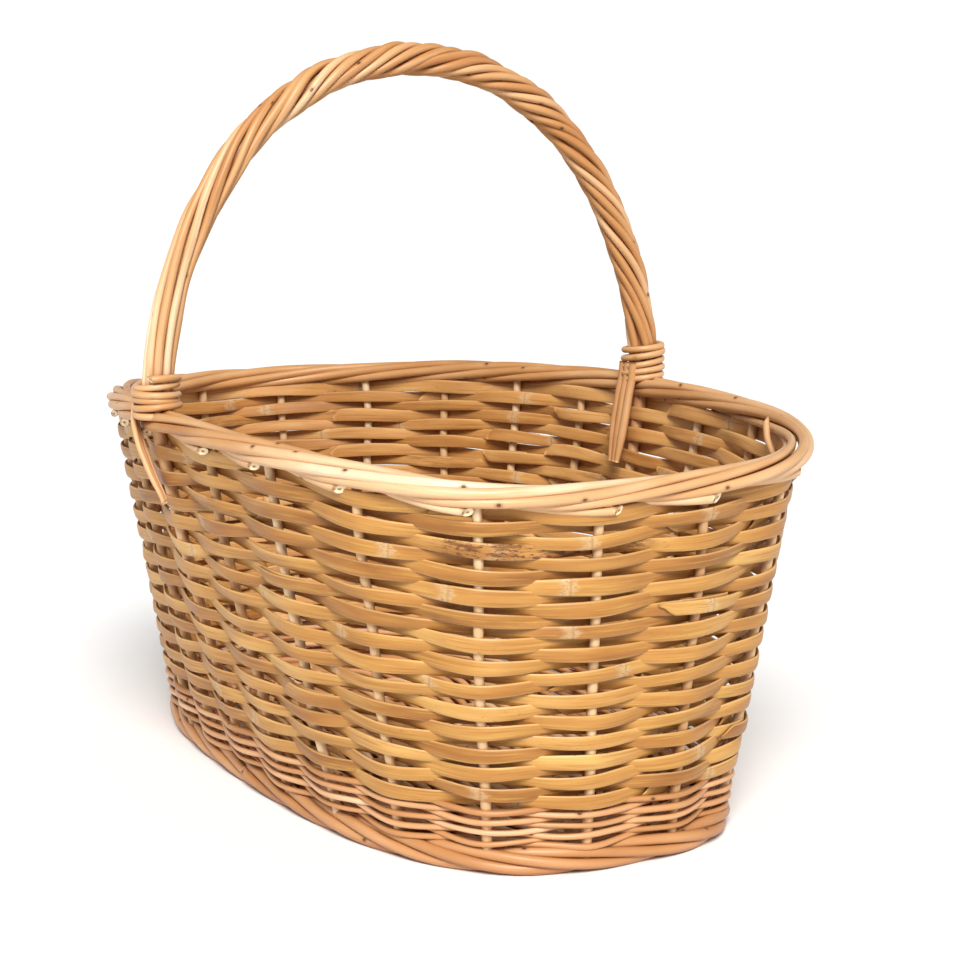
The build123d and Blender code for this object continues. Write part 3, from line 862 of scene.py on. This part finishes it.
def make_handle():
    samples = 420
    point, out, side, length = arch(samples)
    share = length / length[-1]
    slope = np.radians(np.interp(
        share,
        [0.0, 0.1, 0.22, 0.36, 0.5, 0.62, 0.78, 0.9, 1.0],
        [0.0, 2.0, 9.0, 18.0, 23.0, 22.0, 18.0, 17.0, 8.0],
    ))
    ring = HANDLE_RODS * 2 * HANDLE_ROD / (2 * math.pi) / np.cos(slope)
    step = np.gradient(length)
    turn = np.cumsum(-np.tan(slope) / ring * step)
    random = np.random.default_rng(600)
    lump = 1 + line_noise(random, length, 45, 0.03)
    for rod in range(HANDLE_RODS):
        own = np.random.default_rng(610 + rod)
        angle = turn + 2 * math.pi * rod / HANDLE_RODS + 0.4 + line_noise(own, length, 120, 0.07)
        distance = ring * lump * (1 + line_noise(own, length, 60, 0.04))
        line = point + out * (distance * np.cos(angle))[:, None] + side * (distance * np.sin(angle))[:, None]
        radius = HANDLE_ROD * own.uniform(0.88, 1.12) * (1 + line_noise(own, length, 50, 0.04))
        # paler on the left, and more orange towards the right foot
        tone = np.interp(share, [0, 0.3, 0.55, 1], [0.68, 0.4, 0.14, 0.28])
        tone = np.clip(tone + own.uniform(-0.35, 0.35), 0, 1)
        grid = rod_grid(line, radius, own, tone, first=(1, 0, 0))
        piece(f"handle_strand_{rod + 1}", [grid], "handle_willow", f"handle_rod_{rod + 1}")
    legs = []
    for foot in (LEFT_FOOT, RIGHT_FOOT):
        z = np.linspace(RIM_Z - 4, 14, 60)
        leg, *_ = wall_frame(np.full(60, float(foot)), z)
        radius = np.interp(z, [14, 120, RIM_Z], [1.8, 2.9, 3.6])
        legs.append((leg, radius))
    left, left_radius = legs[0]
    right, right_radius = legs[1]
    line = np.vstack([left[::-1], point, right])
    radius = np.concatenate([left_radius[::-1], np.full(samples, BOW_ROD), right_radius])
    grid = rod_grid(line, radius, random, 0.3, first=(1, 0, 0))
    piece("bow", [grid], "handle_willow", "handle_bow")


def make_wraps():
    for foot, name in ((-1, "left"), (1, "right")):
        random = np.random.default_rng(700 + foot)
        turns = 5.2
        t = np.linspace(0, turns, int(turns * 40))
        angle = 2 * math.pi * t * foot + 0.6
        distance = 10.4 + line_noise(random, t, 1.3, 0.3)
        z = RIM_Z + 8.5 + 3.6 * t + 0.9 * np.sin(angle + 0.8) + line_noise(random, t, 1.7, 0.4)
        if foot > 0:
            z = z + 1.6 * smooth_step(t, 2.7, 3.2)
        line = np.stack([distance * np.cos(angle), foot * RIM_B + distance * np.sin(angle), z], -1)
        grid = rod_grid(line, 1.8 * (1 + line_noise(random, t, 1.0, 0.04)), random, 0.4, cuts=(1.0, 1.0))
        piece(f"wrap_{name}", [grid], "binding_willow", f"handle_wrap_{name}")


def make_tails():
    for rod in (-1, 0, 1):
        random = np.random.default_rng(720 + rod)
        z = np.linspace(RIM_Z + 14, RIM_Z - 38, 50)
        point, along, out, _ = wall_frame(np.full(50, float(LEFT_FOOT)), np.minimum(z, RIM_Z + 2))
        point[:, 2] += np.maximum(z - RIM_Z - 2, 0)
        down = (RIM_Z + 14 - z) / 52
        gap = np.interp(down, [0, 0.25, 0.45, 0.75, 1.0], [10.5, 11.6, 11.0, 7.0, 1.0])
        gap = np.convolve(np.pad(gap, 4, "edge"), np.ones(9) / 9, "valid")
        drift = -3 + 17 * down**2.7 + rod * np.interp(down, [0, 0.5, 1], [3.2, 4.9, 2.6])
        line = point + out * gap[:, None] + along * drift[:, None]
        radius = 1.35 * np.interp(down, [0, 0.7, 1.0], [1.0, 1.0, 0.7])
        grid = rod_grid(line, radius, random, first=(1, 0, 0))
        piece(f"tail_left_{rod + 2}", [grid], "rim_willow", "handle_tail_left")
    for rod in (-1, 0, 1):
        random = np.random.default_rng(730 + rod)
        z = np.linspace(RIM_Z + 12, RIM_Z - 42, 50)
        point, along, out, _ = wall_frame(np.full(50, float(RIGHT_FOOT)), np.minimum(z, RIM_Z + 2))
        point[:, 2] += np.maximum(z - RIM_Z - 2, 0)
        down = (RIM_Z + 12 - z) / 54
        gap = np.interp(down, [0, 0.3, 0.6, 1.0], [10.0, 11.5, 12.0, 12.0])
        drift = rod * np.interp(down, [0, 0.6, 1], [4.9, 5.1, 3.2])
        line = point - out * gap[:, None] + along * drift[:, None]
        radius = 2.2 * np.interp(down, [0, 0.75, 1.0], [1.0, 1.0, 0.6])
        grid = rod_grid(line, radius, random, 0.08 + 0.1 * abs(rod), first=(1, 0, 0))
        piece(f"tail_right_{rod + 2}", [grid], "handle_willow", "handle_tail_right")


# ---------------------------------------------------------------------------------------------
# Base


def make_base():
    stick_low, stick_high = cad_box("base_long_sticks")
    cross_low, cross_high = cad_box("base_cross_sticks")
    stick_z = (stick_low[2] + stick_high[2]) / 2
    x = np.linspace(stick_low[0], stick_high[0], 60)
    for number, y in enumerate(np.linspace(stick_low[1] + 2.5, stick_high[1] - 2.5, 7)):
        line = np.stack([x, y + line_noise(rng, x, 150, 0.3), np.full_like(x, stick_z)], -1)
        grid = rod_grid(line, 2.9, rng, first=(0, 0, 1), cuts=(0.5, -0.5))
        piece(f"long_stick_{number + 1}", [grid], "stick_willow", "base_long_sticks")
    count = 9
    places = np.linspace(cross_low[0] + 4.5, cross_high[0] - 4.5, count)
    for number, place in enumerate(places):
        share = abs((place - BASE_SHIFT) / BASE_A)
        half = BASE_B * (1 - share**SQUARE_BASE) ** (1 / SQUARE_BASE) - 4
        y = np.linspace(-half, half, 50)
        line = np.stack([place + line_noise(rng, y, 150, 0.5), y, np.full_like(y, stick_z)], -1)
        grid = rod_grid(line, 3.7, rng, first=(0, 0, 1))
        piece(f"cross_stick_{number + 1}", [grid], "stick_willow", "base_cross_sticks")
    rounds = 20
    for number in range(rounds):
        random = np.random.default_rng(800 + number)
        inset = 4 + 3.6 * number
        a = BASE_A - inset
        b = BASE_B - inset
        square = 2.9 - 0.5 * number / rounds
        t = np.linspace(0, 2 * math.pi, 721)[:-1]
        px = a * np.sign(np.cos(t)) * np.abs(np.cos(t)) ** (2 / square)
        py = b * np.sign(np.sin(t)) * np.abs(np.sin(t)) ** (2 / square)
        px = px + BASE_SHIFT
        pitch = places[1] - places[0]
        phase = (px - places[0]) / pitch
        inside = np.clip((px - places[0] + 14) / 14, 0, 1) * np.clip((places[-1] + 14 - px) / 14, 0, 1)
        sign = 1 if number % 2 == 0 else -1
        side = np.where(py >= 0, 1, -1)
        wave = np.cos(math.pi * phase) * sign * side * inside
        pz = stick_z + 4.6 * wave
        line = np.stack([px, py, np.maximum(pz, 2.2)], -1)
        radius = 2.0 * random.uniform(0.92, 1.05)
        grid = rod_grid(smooth_closed(line, 4), radius, random, sides=8, closed=True)
        node = "base_weave_top" if number % 2 else "base_weave_under"
        piece(f"base_round_{number + 1:02d}", [grid], "wale_willow", node)


# ---------------------------------------------------------------------------------------------
# Floor, light and camera


def make_stage():
    mesh = bpy.data.meshes.new("floor")
    size = 60.0
    corners = [(-size, -size, 0), (size, -size, 0), (size, size, 0), (-size, size, 0)]
    mesh.from_pydata(corners, [], [(0, 1, 2, 3)])
    floor = bpy.data.objects.new("floor", mesh)
    bpy.context.scene.collection.objects.link(floor)
    material = bpy.data.materials.new("pale floor")
    material.use_nodes = True
    shader = material.node_tree.nodes["Principled BSDF"]
    shader.inputs["Base Color"].default_value = (0.9, 0.9, 0.9, 1)
    shader.inputs["Roughness"].default_value = 0.9
    shader.inputs["Specular IOR Level"].default_value = 0.1
    mesh.materials.append(material)


def add_sun(name, place, strength, spread, color):
    light = bpy.data.lights.new(name, "SUN")
    light.energy = strength
    light.angle = math.radians(spread)
    light.color = color
    obj = bpy.data.objects.new(name, light)
    bpy.context.scene.collection.objects.link(obj)
    aim(obj, place, (0, 0, 0))


def aim(obj, place, target, roll=0.0):
    place = Vector(place)
    way = (Vector(target) - place).to_track_quat("-Z", "Y").to_matrix().to_4x4()
    obj.matrix_world = Matrix.Translation(place) @ way @ Matrix.Rotation(roll, 4, "Z")


def make_camera():
    """At azimuth 60 degrees and 9.4 degrees above the basket's middle."""
    azimuth = math.radians(60.0)
    elevation = math.radians(9.443)
    target = np.array([0.0175, 0.0304, 0.1496])
    distance = 1.251
    way = np.array([
        math.sin(azimuth) * math.cos(elevation),
        -math.cos(azimuth) * math.cos(elevation),
        math.sin(elevation),
    ])
    data = bpy.data.cameras.new("camera")
    data.sensor_width = 36.0
    data.lens = 88.7
    camera = bpy.data.objects.new("camera", data)
    bpy.context.scene.collection.objects.link(camera)
    aim(camera, target + way * distance, target, math.radians(0.2))
    bpy.context.scene.camera = camera


def make_light():
    """A white horizon, a dimmer sky and a soft sun from the left in front."""
    scene = bpy.context.scene
    world = bpy.data.worlds.new("studio")
    world.use_nodes = True
    tree = world.node_tree
    background = tree.nodes["Background"]
    background.inputs["Color"].default_value = (1, 1, 1, 1)
    place = tree.nodes.new("ShaderNodeTexCoord")
    split = tree.nodes.new("ShaderNodeSeparateXYZ")
    fade = tree.nodes.new("ShaderNodeMapRange")
    fade.interpolation_type = "SMOOTHSTEP"
    fade.inputs["From Min"].default_value = 0.08
    fade.inputs["From Max"].default_value = 0.45
    fade.inputs["To Min"].default_value = 0.82
    fade.inputs["To Max"].default_value = 0.2
    tree.links.new(place.outputs["Generated"], split.inputs[0])
    tree.links.new(split.outputs["Z"], fade.inputs["Value"])
    tree.links.new(fade.outputs[0], background.inputs["Strength"])
    scene.world = world
    scene.view_settings.view_transform = "Standard"
    scene.view_settings.exposure = 0.35
    add_sun("key", (1.45, -0.75, 1.45), 3.4, 26.0, (1.0, 0.985, 0.965))


make_stage()
make_camera()
make_light()
make_stakes()
make_rows()
make_wale()
make_foot()
make_border()
make_rim_end()
make_handle()
make_wraps()
make_tails()
make_base()

bpy.context.view_layer.update()
